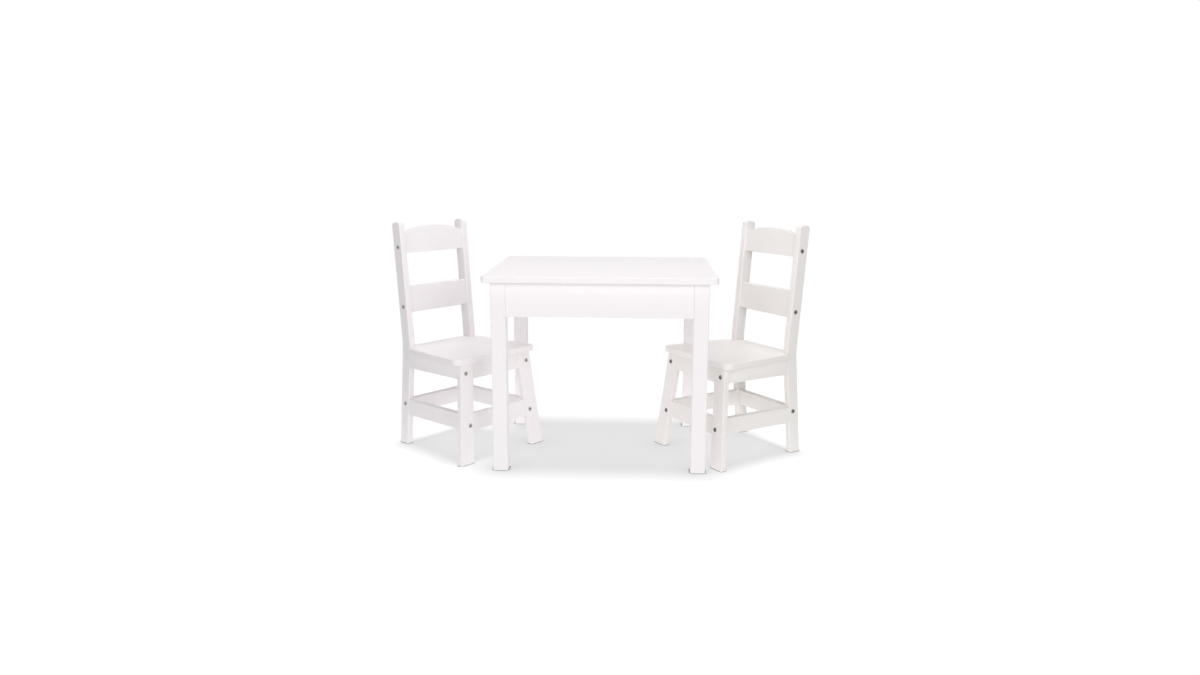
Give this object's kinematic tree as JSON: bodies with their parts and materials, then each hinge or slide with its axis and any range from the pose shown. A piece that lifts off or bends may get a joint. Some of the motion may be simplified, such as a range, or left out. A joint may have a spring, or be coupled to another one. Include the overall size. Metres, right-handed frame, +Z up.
{
  "type": "kids table and chairs",
  "caption": "White wooden play table for children with matching ladder-back chairs, drawn up at its ends.",
  "frame": {"origin": "on the floor, in the middle of the ground that the table and chairs cover", "axes": "+Z up out of the tabletop, +X along the table's long side, +Y away from the side that the chairs are turned towards"},
  "size_m": [1.1284, 0.508, 0.6243],
  "materials": {
    "white_paint": "satin paint",
    "raw_wood": "sanded, unpainted",
    "dark_steel": "dark satin",
    "zinc_steel": "zinc plated"
  },
  "bodies": {
    "table": {"tabletop": "white_paint", "table_leg_front_left": "white_paint", "table_leg_front_right": "white_paint", "table_leg_rear_left": "white_paint", "table_leg_rear_right": "white_paint", "apron_front": "white_paint", "apron_rear": "white_paint", "apron_left": "white_paint", "apron_right": "white_paint", "brace_front_left": "raw_wood", "brace_front_right": "raw_wood", "brace_rear_left": "raw_wood", "brace_rear_right": "raw_wood", "table_leg_bolts": "zinc_steel", "table_leg_nuts": "zinc_steel", "brace_screws": "zinc_steel", "tabletop_screws": "zinc_steel"},
    "left_chair": {"left_chair_seat": "white_paint", "left_chair_left_post": "white_paint", "left_chair_right_post": "white_paint", "left_chair_top_rail": "white_paint", "left_chair_mid_rail": "white_paint", "left_chair_left_front_leg": "white_paint", "left_chair_right_front_leg": "white_paint", "left_chair_front_apron": "white_paint", "left_chair_rear_apron": "white_paint", "left_chair_left_apron": "white_paint", "left_chair_right_apron": "white_paint", "left_chair_front_stretcher": "white_paint", "left_chair_rear_stretcher": "white_paint", "left_chair_left_stretcher": "white_paint", "left_chair_right_stretcher": "white_paint", "left_chair_bolts": "dark_steel", "left_chair_inserts": "zinc_steel", "left_chair_dowels": "raw_wood", "left_chair_seat_screws": "zinc_steel"},
    "right_chair": {"right_chair_seat": "white_paint", "right_chair_left_post": "white_paint", "right_chair_right_post": "white_paint", "right_chair_top_rail": "white_paint", "right_chair_mid_rail": "white_paint", "right_chair_left_front_leg": "white_paint", "right_chair_right_front_leg": "white_paint", "right_chair_front_apron": "white_paint", "right_chair_rear_apron": "white_paint", "right_chair_left_apron": "white_paint", "right_chair_right_apron": "white_paint", "right_chair_front_stretcher": "white_paint", "right_chair_rear_stretcher": "white_paint", "right_chair_left_stretcher": "white_paint", "right_chair_right_stretcher": "white_paint", "right_chair_bolts": "dark_steel", "right_chair_inserts": "zinc_steel", "right_chair_dowels": "raw_wood", "right_chair_seat_screws": "zinc_steel"}
  },
  "joints": [
    {"name": "left_pull_out", "type": "slide", "parent": "table", "child": "left_chair", "axis": [-0.788, 0.6157, 0], "range_m": [-0.05, 0.4]},
    {"name": "right_pull_out", "type": "slide", "parent": "table", "child": "right_chair", "axis": [0.8387, 0.5446, 0], "range_m": [-0.015, 0.4]}
  ]
}
